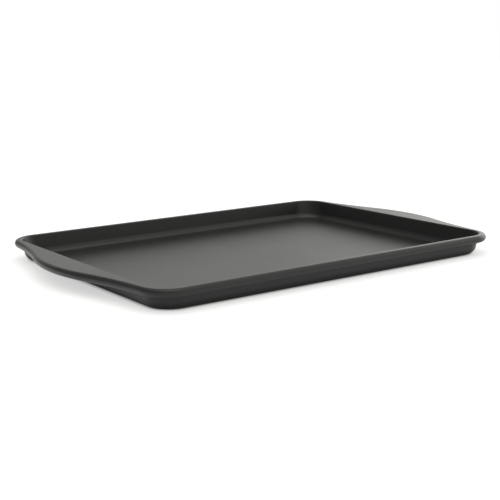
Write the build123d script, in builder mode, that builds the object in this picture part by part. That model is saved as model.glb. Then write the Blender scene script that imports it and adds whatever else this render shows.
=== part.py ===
from build123d import *
from math import acos, asin, atan2, degrees, radians, tan
import os

# Rimmed baking sheet: a tray pressed from one sheet of steel, with a flat handle
# flange at each short end and a rim rolled round a steel wire.
# Millimetres. Length runs along X, width along Y, height along Z.
# The origin is under the middle of the floor, on the surface that the pan stands on.

# Pressed tray
sheet = 0.7
opening_length = 381.0
opening_width = 280.0
pan_height = 20.5
opening_corner_radius = 21.0
floor_corner_radius = 25.0
floor_bend_radius = 7.0
rim_bend_radius = 1.2
wall_lean = 6.5

# Handle flange at each short end
handle_reach = 21.5
crown_radius = 165.0
hollow_radius = 370.0

# Rolled rim, an oval curl, and the round wire inside it
wire_diameter = 5.5
wire_clearance = 0.05
curl_slack = 0.25
lip_gap = 0.25
wire_joint_gap = 0.3

# Sizes that follow from the ones above
half_length = opening_length / 2
half_width = opening_width / 2
lean_run = pan_height * tan(radians(wall_lean))
wire_radius = wire_diameter / 2
inner_reach = wire_radius + wire_clearance
inner_rise = wire_radius + curl_slack
outer_reach = inner_reach + sheet
outer_rise = inner_rise + sheet
wire_line_gap = sheet + inner_reach
wire_height = pan_height - outer_rise
lip_wrap = degrees(asin((inner_reach - lip_gap) / outer_reach))
curl_turn = -180 - lip_wrap

# From the middle of a handle the rim follows a crown arc and a hollow arc into the
# corner arc. The triangle between the arcs' centres gives how far each one turns.
crown_centre = Vector(half_length + handle_reach - crown_radius, 0)
corner_centre = Vector(half_length - opening_corner_radius, half_width - opening_corner_radius)
crown_to_corner = corner_centre - crown_centre
crown_to_hollow = crown_radius + hollow_radius
corner_to_hollow = opening_corner_radius + hollow_radius
spread = acos(
    (crown_to_corner.length**2 + crown_to_hollow**2 - corner_to_hollow**2)
    / (2 * crown_to_corner.length * crown_to_hollow)
)
crown_turn = degrees(atan2(crown_to_corner.Y, crown_to_corner.X) - spread)
hollow_centre = crown_centre + Vector(crown_to_hollow, 0).rotate(Axis.Z, crown_turn)
corner_to_centre = hollow_centre - corner_centre
corner_lead = degrees(atan2(corner_to_centre.Y, corner_to_centre.X))


def rim_line(gap, height=0):
    """Give the closed line that runs round the rim, gap outside the pan's opening."""
    with BuildLine() as line:
        crown_start = (half_length + handle_reach + gap, 0)
        crown = JernArc(crown_start, (0, 1), crown_radius + gap, crown_turn)
        hollow = JernArc(crown @ 1, crown % 1, hollow_radius - gap, corner_lead - crown_turn)
        corner = JernArc(hollow @ 1, hollow % 1, opening_corner_radius + gap, 90 - corner_lead)
        mirror(about=Plane.YZ)
        Line(corner @ 1, (opening_corner_radius - half_length, half_width + gap))
        mirror(about=Plane.XZ)
    return Plane.XY.offset(height) * line.wire()


def tray_form(gap, floor_level, floor_radius, bend_radius):
    """Make the tray's solid form, its walls gap outside the pan's opening."""
    spread_at_floor = gap - lean_run + floor_level * tan(radians(wall_lean))
    with BuildSketch(Plane.XY.offset(floor_level)) as foot:
        RectangleRounded(
            opening_length + 2 * spread_at_floor,
            opening_width + 2 * spread_at_floor,
            floor_radius,
        )
    with BuildSketch(Plane.XY.offset(pan_height)) as brim:
        RectangleRounded(
            opening_length + 2 * gap, opening_width + 2 * gap, opening_corner_radius + gap
        )
    walls = []
    for low, high in zip(foot.sketch.wire().order_edges(), brim.sketch.wire().order_edges()):
        if low.geom_type == GeomType.LINE:
            walls.append(Face(Wire.make_polygon([low @ 0, low @ 1, high @ 1, high @ 0])))
        else:
            walls.append(Face.make_surface_from_curves(low, high))
    with BuildPart() as form:
        add(Solid(Shell([foot.sketch.face(), brim.sketch.face(), *walls])))
        fillet(form.faces().sort_by(Axis.Z)[0].edges(), bend_radius)
    return form.part


# The rim's section across the wire line: u points away from the pan, v points up.
rim_section = Plane(
    origin=(half_length + handle_reach + wire_line_gap, 0, wire_height),
    x_dir=(1, 0, 0),
    z_dir=(0, -1, 0),
)

tray_outside = tray_form(sheet, 0, floor_corner_radius, floor_bend_radius + sheet)
tray_inside = tray_form(0, sheet, floor_corner_radius - sheet, floor_bend_radius)

# Pan shell
with BuildPart() as pan_shell:
    add(tray_outside)
    add(tray_inside, mode=Mode.SUBTRACT)

    # Rim flange, wide at the handles and narrow along the sides
    with BuildSketch(Plane.XY.offset(pan_height - sheet)):
        make_face(rim_line(wire_line_gap).edges())
        RectangleRounded(
            opening_length, opening_width, opening_corner_radius, mode=Mode.SUBTRACT
        )
    extrude(amount=sheet)
    rim_top = faces().filter_by(Plane.XY).sort_by(Axis.Z)[-1]
    fillet(rim_top.inner_wires()[0].edges(), rim_bend_radius)

    # Curl that closes over the wire and tucks its lip in beside the wall
    with BuildSketch(rim_section):
        with BuildLine():
            outside = EllipticalCenterArc((0, 0), outer_reach, outer_rise, 90, arc_size=curl_turn)
            inside = EllipticalCenterArc((0, 0), inner_reach, inner_rise, 90, arc_size=curl_turn)
            Line(outside @ 0, inside @ 0)
            Line(outside @ 1, inside @ 1)
        make_face()
    sweep(path=rim_line(wire_line_gap, wire_height))

# Rim wire, bent to the rim's outline with its two ends butted together. Its round
# section is drawn as an ellipse, seam inwards, which bends into the fewest facets.
with BuildPart() as rim_wire:
    with BuildSketch(rim_section):
        Ellipse(wire_radius, wire_radius, rotation=180)
    sweep(path=rim_line(wire_line_gap, wire_height))
    with Locations((0, half_width + wire_line_gap, wire_height)):
        Box(wire_joint_gap, wire_diameter, wire_diameter, mode=Mode.SUBTRACT)

pan_shell.part.label = "pan_shell"
rim_wire.part.label = "rim_wire"

os.makedirs("parts", exist_ok=True)
export_step(pan_shell.part, "parts/pan_shell.step")
export_step(rim_wire.part, "parts/rim_wire.step")
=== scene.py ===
from math import acos, atan2, cos, pi, radians, sin, tan

import bmesh
import bpy
from mathutils import Matrix, Vector


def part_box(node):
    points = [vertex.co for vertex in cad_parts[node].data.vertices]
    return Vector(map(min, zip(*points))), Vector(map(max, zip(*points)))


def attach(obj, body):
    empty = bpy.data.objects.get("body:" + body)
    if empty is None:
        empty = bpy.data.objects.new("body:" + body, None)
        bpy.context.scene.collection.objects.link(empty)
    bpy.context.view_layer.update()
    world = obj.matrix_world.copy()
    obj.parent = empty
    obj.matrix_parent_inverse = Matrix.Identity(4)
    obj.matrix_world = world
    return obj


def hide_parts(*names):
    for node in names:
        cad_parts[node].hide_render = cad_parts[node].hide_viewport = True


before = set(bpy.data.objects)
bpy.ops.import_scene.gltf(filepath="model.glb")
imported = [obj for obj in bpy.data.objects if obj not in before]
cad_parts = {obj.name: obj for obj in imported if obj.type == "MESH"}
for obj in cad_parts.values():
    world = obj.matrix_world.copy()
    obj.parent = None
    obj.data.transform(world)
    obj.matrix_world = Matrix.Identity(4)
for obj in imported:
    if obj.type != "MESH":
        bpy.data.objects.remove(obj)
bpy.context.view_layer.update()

# Camera: low in front of one corner of the tray, with a long lens. The angles say how
# far it is turned from looking along the width, tipped down and rolled.

mm = 0.001
camera_turn = radians(35.67)
camera_tip = radians(11.684)
camera_roll = radians(-0.671)
camera_distance = 1030.1 * mm
camera_left = 1.034 * mm
camera_up = 5.331 * mm
nearest_seen = 10 * mm
photo_width = 500
focal_pixels = 1025.82
film_width = 36.0

facing = (
    Matrix.Rotation(-camera_turn, 4, "Z")
    @ Matrix.Rotation(pi / 2 - camera_tip, 4, "X")
    @ Matrix.Rotation(camera_roll, 4, "Z")
)
bpy.ops.object.camera_add()
camera = bpy.context.object
camera.matrix_world = facing @ Matrix.Translation((-camera_left, camera_up, camera_distance))
camera.data.sensor_width = film_width
camera.data.lens = focal_pixels * film_width / photo_width
camera.data.clip_start = nearest_seen
bpy.context.scene.camera = camera

# Pressed tray: one sheet of steel under a baked non-stick coating, drawn into a shallow
# tray with leaning walls. Its edge is left as a flange, wide at the short ends, where
# the hands take hold, and is rolled over into an oval curl.

sheet = 0.7 * mm
rim_reach = 3.5 * mm
rim_rise = 3.7 * mm
handle_reach = 21.5 * mm
opening_radius = 21.0 * mm
floor_radius = 25.0 * mm
floor_bend_radius = 7.0 * mm
rim_bend_radius = 1.2 * mm
crown_radius = 165.0 * mm
hollow_radius = 370.0 * mm
wall_lean = radians(6.5)

# The curl reaches as far beyond its own line as that line is from the tray's opening
tray_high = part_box("pan_shell")[1]
pan_height = tray_high.z
half_length = tray_high.x - handle_reach - 2 * rim_reach
half_width = tray_high.y - 2 * rim_reach
bead_height = pan_height - rim_rise

crown_steps = 14
hollow_steps = 12
corner_steps = 20
floor_bend_steps = 10
rim_bend_steps = 6
curl_sides = 64
curl_sides_kept = 40
sharp_above = radians(40)
flat_face_weight = 90
touching = 0.01 * mm

# The bead's line is made of arcs that run into each other without a kink, so the
# triangle between their centres gives how far each one turns.
crown_centre = Vector((half_length + handle_reach - crown_radius, 0, 0))
corner_centre = Vector((half_length - opening_radius, half_width - opening_radius, 0))
crown_to_hollow = crown_radius + hollow_radius
corner_to_hollow = opening_radius + hollow_radius
crown_to_corner = corner_centre - crown_centre
spread = acos(
    (crown_to_corner.length_squared + crown_to_hollow**2 - corner_to_hollow**2)
    / (2 * crown_to_corner.length * crown_to_hollow)
)
crown_turn = atan2(crown_to_corner.y, crown_to_corner.x) - spread
hollow_centre = crown_centre + crown_to_hollow * Vector((cos(crown_turn), sin(crown_turn), 0))
corner_to_centre = hollow_centre - corner_centre
corner_lead = atan2(corner_to_centre.y, corner_to_centre.x)
bead_start = Vector((half_length + handle_reach + rim_reach, 0, bead_height))


def start_mesh(name, add, **place):
    """Add a primitive as a new object of its own, and open it for editing."""
    bpy.ops.object.select_all(action="DESELECT")
    add(**place)
    thing = bpy.context.object
    thing.name = name
    thing.data.name = name
    bpy.ops.object.mode_set(mode="EDIT")
    return thing


def start_section(name, sides, radius):
    """Add an upright ring across the start of the bead's line, open for editing."""
    ring = start_mesh(
        name,
        bpy.ops.mesh.primitive_circle_add,
        vertices=sides,
        radius=radius,
        location=bead_start,
        rotation=(pi / 2, 0, 0),
    )
    bpy.ops.object.mode_set(mode="OBJECT")
    bpy.ops.object.transform_apply(location=True, rotation=True, scale=True)
    bpy.ops.object.mode_set(mode="EDIT")
    bpy.ops.mesh.select_all(action="SELECT")
    return ring


def choose(kind, wanted):
    """Select the vertices or edges, of the mesh being edited, that pass a test."""
    bpy.ops.mesh.select_mode(type=kind)
    bpy.ops.mesh.select_all(action="DESELECT")
    mesh = bpy.context.object.data
    shape = bmesh.from_edit_mesh(mesh)
    parts = {"VERT": shape.verts, "EDGE": shape.edges}[kind]
    for part in parts:
        part.select_set(wanted(part))
    bmesh.update_edit_mesh(mesh)


def at_height(edge, level):
    """Say whether an edge lies level at that height."""
    return all(abs(vertex.co.z - level) < touching for vertex in edge.verts)


def carry_round_the_bead(stop):
    """Spin the chosen section from the middle of the right handle to the long side."""
    bpy.ops.mesh.spin(
        steps=crown_steps, angle=-crown_turn, center=crown_centre, axis=(0, 0, 1)
    )
    bpy.ops.mesh.spin(
        steps=hollow_steps, angle=crown_turn - corner_lead, center=hollow_centre, axis=(0, 0, 1)
    )
    bpy.ops.mesh.spin(
        steps=corner_steps, angle=corner_lead - pi / 2, center=corner_centre, axis=(0, 0, 1)
    )
    bpy.ops.mesh.extrude_region_move(
        TRANSFORM_OT_translate={"value": (stop - corner_centre.x, 0, 0)}
    )


def mirror_both_ways(thing):
    """Mirror a quarter of the rim to the other long side and the other end."""
    bpy.ops.object.mode_set(mode="OBJECT")
    mirror = thing.modifiers.new("other quarters", "MIRROR")
    mirror.use_axis = (True, True, False)
    mirror.use_mirror_merge = True
    mirror.merge_threshold = touching
    bpy.ops.object.modifier_apply(modifier=mirror.name)


# The curl: five eighths of an oval ring, from its top outwards and round underneath,
# spun along the handle's arcs
curl_end = 2 * pi * (curl_sides_kept + 0.5) / curl_sides
before_the_top = -0.001
curl = start_section("pan", curl_sides, radius=1)
bpy.ops.transform.resize(value=(rim_reach, 1, rim_rise), center_override=bead_start)


def turned(vertex):
    """Give how far round the oval a vertex is from its top, going outwards."""
    place = vertex.co - bead_start
    angle = atan2(place.x / rim_reach, place.z / rim_rise)
    return angle if angle > before_the_top else angle + 2 * pi


choose("VERT", lambda vertex: turned(vertex) > curl_end)
bpy.ops.mesh.delete(type="VERT")
bpy.ops.mesh.select_all(action="SELECT")
carry_round_the_bead(stop=0)
bpy.ops.object.mode_set(mode="OBJECT")

# The tray inside it: two rounded rectangles, the opening and the floor, bridged. Its
# ends are divided as often as the curl is there.
floor_in = (pan_height - sheet) * tan(wall_lean)
end_steps = 2 * (crown_steps + hollow_steps)


def add_rounded_rectangle(length, width, level, radius):
    """Add a rectangle to the mesh being edited, and round its corners."""
    bpy.ops.mesh.primitive_plane_add(size=1, location=(0, 0, level))
    bpy.ops.transform.resize(value=(length, width, 1), center_override=(0, 0, level))
    bpy.ops.mesh.bevel(offset=radius, segments=corner_steps, affect="VERTICES")


tray = start_mesh("tray", bpy.ops.mesh.primitive_plane_add)
bpy.ops.mesh.delete(type="VERT")
add_rounded_rectangle(2 * half_length, 2 * half_width, pan_height, opening_radius)
bpy.ops.mesh.delete(type="ONLY_FACE")
add_rounded_rectangle(
    2 * (half_length - floor_in), 2 * (half_width - floor_in), sheet, floor_radius - sheet
)


def straight(edge, axis):
    """Say whether an edge is a long straight one along an axis, 0 for X and 1 for Y."""
    along = edge.verts[1].co - edge.verts[0].co
    return abs(along[axis]) > half_width and abs(along[1 - axis]) < touching


choose("EDGE", lambda edge: straight(edge, axis=1))
bpy.ops.mesh.subdivide(number_cuts=end_steps - 1)
choose("EDGE", lambda edge: straight(edge, axis=0))
bpy.ops.mesh.subdivide(number_cuts=1)
bpy.ops.mesh.select_all(action="SELECT")
bpy.ops.mesh.bridge_edge_loops()
choose("VERT", lambda vertex: min(vertex.co.x, vertex.co.y) < -touching)
bpy.ops.mesh.delete(type="VERT")
bpy.ops.object.mode_set(mode="OBJECT")

# The flange between them, then the other quarters, and the bends of floor and flange.
# A bend takes up, on each side of it, its radius times the tangent of half its turn.
tray.select_set(True)
curl.select_set(True)
bpy.context.view_layer.objects.active = curl
bpy.ops.object.join()
pan = curl
bpy.ops.object.mode_set(mode="EDIT")
bend_reach = tan((pi / 2 - wall_lean) / 2)
steep = radians(60)


def open_edge_at(level):
    """Give a test for the level edges there that have a face on one side only."""
    return lambda edge: edge.is_boundary and at_height(edge, level)


def on_the_opening(edge):
    """Say whether an edge lies where the flange turns down into a wall."""
    return at_height(edge, pan_height) and any(
        abs(face.normal.z) < cos(steep) for face in edge.link_faces
    )


choose("EDGE", open_edge_at(pan_height))
bpy.ops.mesh.bridge_edge_loops(number_cuts=1, interpolation="LINEAR")
mirror_both_ways(pan)
bpy.ops.object.mode_set(mode="EDIT")
choose("EDGE", open_edge_at(sheet))
bpy.ops.mesh.edge_face_add()
bpy.ops.mesh.select_all(action="SELECT")
bpy.ops.mesh.normals_make_consistent(inside=False)
choose("EDGE", lambda edge: at_height(edge, sheet))
bpy.ops.mesh.bevel(
    offset=floor_bend_radius * bend_reach, segments=floor_bend_steps, affect="EDGES"
)
choose("EDGE", on_the_opening)
bpy.ops.mesh.bevel(
    offset=rim_bend_radius * bend_reach, segments=rim_bend_steps, affect="EDGES"
)
bpy.ops.object.mode_set(mode="OBJECT")

# The sheet's thickness, on the side away from the food and inside the curl
thickness = pan.modifiers.new("sheet thickness", "SOLIDIFY")
thickness.thickness = sheet
thickness.offset = -1
thickness.use_even_offset = True
bpy.ops.object.modifier_apply(modifier=thickness.name)
bpy.ops.object.shade_smooth_by_angle(angle=sharp_above)
flatten = pan.modifiers.new("flat faces stay flat", "WEIGHTED_NORMAL")
flatten.keep_sharp = True
flatten.weight = flat_face_weight
bpy.ops.object.modifier_apply(modifier=flatten.name)


class Socket:
    """A shader socket that takes part in sums: each operator adds its Math node."""

    def __init__(self, tree, socket=None):
        self.tree = tree
        self.socket = socket

    def node(self, kind, settings, inputs, output=0):
        """Add any other node: its settings, then the values or links of its sockets."""
        node = self.tree.nodes.new(kind)
        for name, value in settings.items():
            setattr(node, name, value)
        for name, value in inputs.items():
            if isinstance(value, Socket):
                self.tree.links.new(value.socket, node.inputs[name])
            else:
                node.inputs[name].default_value = value
        return Socket(self.tree, node.outputs[output])

    def feed(self, shader, name):
        """Link this socket to one of a shader's own."""
        self.tree.links.new(self.socket, shader.inputs[name])

    def math(self, operation, first, second):
        return self.node("ShaderNodeMath", {"operation": operation}, {0: first, 1: second})

    def __add__(self, other):
        return self.math("ADD", self, other)

    __radd__ = __add__

    def __sub__(self, other):
        return self.math("SUBTRACT", self, other)

    def __rsub__(self, other):
        return self.math("SUBTRACT", other, self)

    def __mul__(self, other):
        return self.math("MULTIPLY", self, other)

    __rmul__ = __mul__

    def __truediv__(self, other):
        return self.math("DIVIDE", self, other)

    def __rtruediv__(self, other):
        return self.math("DIVIDE", other, self)

    def clamp(self):
        """Keep a value between 0 and 1."""
        return self.node("ShaderNodeClamp", {}, {0: self})


def new_material(name):
    """Start a material, and give it, a place to build its nodes from, and its shader."""
    material = bpy.data.materials.new(name)
    material.use_nodes = True
    tree = material.node_tree
    return material, Socket(tree), tree.nodes["Principled BSDF"]


def noise(start, scale, detail):
    """Give a cloudy pattern between 0 and 1 on the piece's own coordinates."""
    place = start.node("ShaderNodeTexCoord", {}, {}, "Object")
    return start.node(
        "ShaderNodeTexNoise", {}, {"Vector": place, "Scale": scale, "Detail": detail}, "Fac"
    )


def between(start, first, second, share):
    """Give a colour between two others: the second one where the share is 1."""
    return start.node(
        "ShaderNodeMix", {"data_type": "RGBA"}, {0: share, 6: first, 7: second}, 2
    )


def bump(start, strength, depth, height):
    """Give the normal of a surface that a pattern raises by up to that depth."""
    return start.node(
        "ShaderNodeBump", {}, {"Strength": strength, "Distance": depth, "Height": height}
    )


# The coating is nearly black and satin, with faint clouds, a fine orange peel and a
# finer grit. Their scales are in waves per metre.
coating_dark = (0.013, 0.0131, 0.013, 1)
coating_light = (0.0199, 0.02, 0.0199, 1)
coating_index = 1.38
cloud_scale = 9
peel_scale = 620
grit_scale = 2600
grit_middle = 0.5
grit_in_colour = 0.65
grit_in_bumps = 0.3
coating_roughness = 0.33
cloud_roughness = 0.06
grit_roughness = 0.06
coating_bumps = 0.55
coating_bump_depth = 0.1 * mm

coating, start, shader = new_material("non-stick coating")
clouds = noise(start, cloud_scale, detail=3)
orange_peel = noise(start, peel_scale, detail=2)
grit = noise(start, grit_scale, detail=1)
pale = ((1 - grit_in_colour) * clouds + grit_in_colour * grit).clamp()
roughness = coating_roughness + cloud_roughness * clouds + grit_roughness * (grit - grit_middle)
height = (1 - grit_in_bumps) * orange_peel + grit_in_bumps * grit
between(start, coating_dark, coating_light, pale).feed(shader, "Base Color")
roughness.feed(shader, "Roughness")
bump(start, coating_bumps, coating_bump_depth, height).feed(shader, "Normal")
shader.inputs["IOR"].default_value = coating_index
pan.data.materials.clear()
pan.data.materials.append(coating)
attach(pan, "root")
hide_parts("pan_shell")

# Rim wire: a round steel wire inside the curl that stiffens the rim. It is bent to the
# rim's outline, and its two ends butt together behind the middle of one long side.

wire_radius = 2.75 * mm
wire_sides = 32
joint_gap = 0.3 * mm
steel_dark = (0.42, 0.42, 0.43, 1)
steel_light = (0.62, 0.62, 0.63, 1)
speck_scale = 700
steel_roughness = 0.3
speck_roughness = 0.15
speck_bumps = 0.3
speck_bump_depth = 0.03 * mm

wire = start_section("wire", wire_sides, wire_radius)
carry_round_the_bead(stop=joint_gap / 2)
mirror_both_ways(wire)

# One long side is closed, and the two ends on the other are capped
bpy.ops.object.mode_set(mode="EDIT")
choose("EDGE", lambda edge: edge.is_boundary and edge.verts[0].co.y < 0)
bpy.ops.mesh.bridge_edge_loops()
choose("EDGE", lambda edge: edge.is_boundary and edge.verts[0].co.x < 0)
bpy.ops.mesh.edge_face_add()
choose("EDGE", lambda edge: edge.is_boundary)
bpy.ops.mesh.edge_face_add()
bpy.ops.mesh.select_all(action="SELECT")
bpy.ops.mesh.normals_make_consistent(inside=False)
bpy.ops.object.mode_set(mode="OBJECT")
bpy.ops.object.shade_smooth_by_angle(angle=sharp_above)

steel, start, shader = new_material("drawn steel wire")
specks = noise(start, speck_scale, detail=3)
between(start, steel_dark, steel_light, specks).feed(shader, "Base Color")
(steel_roughness + speck_roughness * specks).feed(shader, "Roughness")
bump(start, speck_bumps, speck_bump_depth, specks).feed(shader, "Normal")
shader.inputs["Metallic"].default_value = 1.0
wire.data.materials.clear()
wire.data.materials.append(steel)
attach(wire, "root")
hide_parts("rim_wire")

# Studio floor: white paper that runs out flat round the tray. It glows for the camera
# and in the coating, which keeps it white. Close to the tray's foot the glow fades out:
# a painted shadow where the tray shades it, reaching further in what the coating mirrors.

floor_size = 12.0
floor_drop = 0.05 * mm
paper_grey = (0.6, 0.6, 0.6, 1)
paper_roughness = 0.9
paper_glow = 0.55
distant_glow = 0.15
distance_begins = 0.3
distance_run = 0.5
shade_run = 8 * mm
mirrored_shade_run = 16 * mm
mirrored_shade_inset = 2 * mm
black = (0, 0, 0, 1)
white = (1, 1, 1, 1)

bpy.ops.object.select_all(action="DESELECT")
bpy.ops.mesh.primitive_plane_add(size=floor_size, location=(0, 0, -floor_drop))
floor = bpy.context.object
floor.name = "studio floor"


def vectors(start, operation, inputs, output=0):
    """Add a Vector Math node."""
    return start.node("ShaderNodeVectorMath", {"operation": operation}, inputs, output)


def ramp(value, begins, run):
    """Rise from 0, where a value begins, to 1, once it has gone on for its run."""
    return ((value - begins) / run).clamp()


def who_looks(start):
    """Say if a ray is the camera's own, and if it was mirrored or went through glass."""
    seen = start.node("ShaderNodeLightPath", {}, {}, "Is Camera Ray")
    mirrored = start.node("ShaderNodeLightPath", {}, {}, "Is Glossy Ray")
    passed = start.node("ShaderNodeLightPath", {}, {}, "Is Transmission Ray")
    return seen, (mirrored + passed).clamp()


paper, start, shader = new_material("white paper")
seen, mirrored = who_looks(start)
place = start.node("ShaderNodeTexCoord", {}, {}, "Object")
away = vectors(start, "LENGTH", {0: place}, "Value")

# How far a place on the paper is from the centre of the nearest round corner
corner = (half_length - floor_in - floor_radius, half_width - floor_in - floor_radius, 0)
either_side = vectors(start, "ABSOLUTE", {0: place})
beyond = vectors(start, "SUBTRACT", {0: either_side, 1: corner})
beyond = vectors(start, "MAXIMUM", {0: beyond, 1: (0, 0, 0)})
off_tray = vectors(start, "LENGTH", {0: beyond}, "Value")

# The glow fades out towards the tray's foot: painted shadow, wider in what the coating mirrors
open_to_camera = ramp(off_tray, floor_radius - floor_bend_radius, shade_run)
open_in_mirror = ramp(off_tray, floor_radius - mirrored_shade_inset, mirrored_shade_run)
near_glow = paper_glow * (open_to_camera * seen + open_in_mirror * mirrored)
far_glow = distant_glow * ramp(away, distance_begins, distance_run) * (seen + mirrored).clamp()
between(start, black, white, near_glow + far_glow).feed(shader, "Emission Color")
shader.inputs["Emission Strength"].default_value = 1.0
shader.inputs["Base Color"].default_value = paper_grey
shader.inputs["Roughness"].default_value = paper_roughness
shader.inputs["Specular IOR Level"].default_value = 0.0
floor.data.materials.append(paper)

# Studio room: white for the camera. What the coating mirrors of it is bright low down
# behind the tray, on the right and overhead, and dimmer elsewhere. One large soft lamp
# hangs over the tray.

room_light = 0.9
dim_room = 0.3
bright_wall = 0.72
bright_window = 1.3
bright_side = 0.8
bright_ceiling = 1.2
warm_white = (1, 1, 0.965, 1)
lamp_turn = 180
lamp_rise = 80
lamp_distance = 1.8
lamp_size = 2.0
lamp_power = 6


def direction(turn, rise):
    """Give the way to a place in the room, in degrees to the right of the view and up."""
    turn = radians(turn) + camera_turn
    rise = radians(rise)
    return Vector((sin(turn) * cos(rise), cos(turn) * cos(rise), sin(rise)))


def towards(start, turn, rise):
    """Give how far a ray into the room points that way, 1 when it points straight there."""
    ray = start.node("ShaderNodeTexCoord", {}, {}, "Generated")
    return vectors(start, "DOT_PRODUCT", {0: ray, 1: direction(turn, rise)}, "Value")


world = bpy.data.worlds.new("studio")
bpy.context.scene.world = world
world.use_nodes = True
backdrop = world.node_tree.nodes["Background"]
start = Socket(world.node_tree)
seen, mirrored = who_looks(start)
upwards = towards(start, turn=0, rise=90)
low = 1 - ramp(upwards, begins=0.55, run=0.15)
wall = ramp(towards(start, turn=32, rise=0), begins=0.1, run=0.7)
window = ramp(towards(start, turn=45, rise=5), begins=0.74, run=0.12)
side = ramp(towards(start, turn=115, rise=10), begins=-0.1, run=1.1)
ceiling = ramp(upwards, begins=0.8, run=0.15)
room = dim_room + bright_wall * low * wall + bright_window * window * low
room = room + bright_side * side + bright_ceiling * ceiling
brightness = room_light + (1 - room_light) * seen + (room - room_light) * mirrored
between(start, warm_white, white, seen).feed(backdrop, "Color")
brightness.feed(backdrop, "Strength")

lamp_place = lamp_distance * direction(lamp_turn, lamp_rise)
bpy.ops.object.light_add(type="AREA", location=lamp_place)
lamp = bpy.context.object
lamp.name = "soft lamp"
lamp.data.size = lamp_size
lamp.data.energy = lamp_power
lamp.rotation_euler = (-lamp_place).to_track_quat("-Z", "Y").to_euler()

bpy.context.scene.view_settings.view_transform = "Standard"
